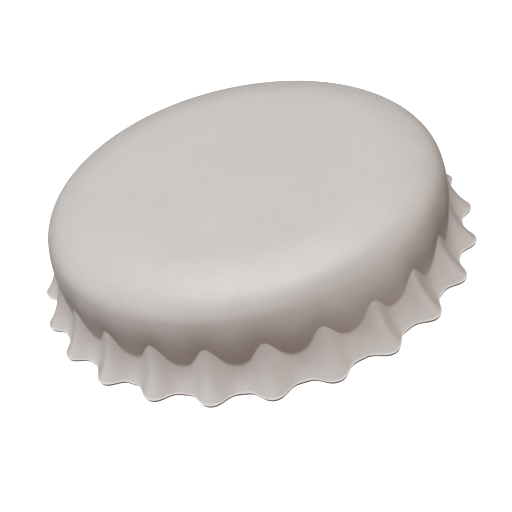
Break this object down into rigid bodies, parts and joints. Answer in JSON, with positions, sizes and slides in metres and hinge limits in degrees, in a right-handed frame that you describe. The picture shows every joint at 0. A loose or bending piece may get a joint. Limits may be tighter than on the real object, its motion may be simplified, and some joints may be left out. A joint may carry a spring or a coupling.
{
  "type": "bottle cap",
  "caption": "Pressed metal bottle cap: flat panel, rounded shoulder, straight wall and a fluted skirt flared to teeth, with a moulded sealing disc inside.",
  "frame": {"origin": "centre of the cap on the plane of its tooth tips, which it stands on", "axes": "+Z is the cap's axis, from the tooth tips up to the panel; +X passes through a tooth"},
  "size_m": [0.0304, 0.0304, 0.007],
  "materials": {
    "coated_sheet": "satin",
    "liner_compound": "matte"
  },
  "bodies": {
    "root": {"shell": "coated_sheet", "liner": "liner_compound"}
  },
  "joints": []
}
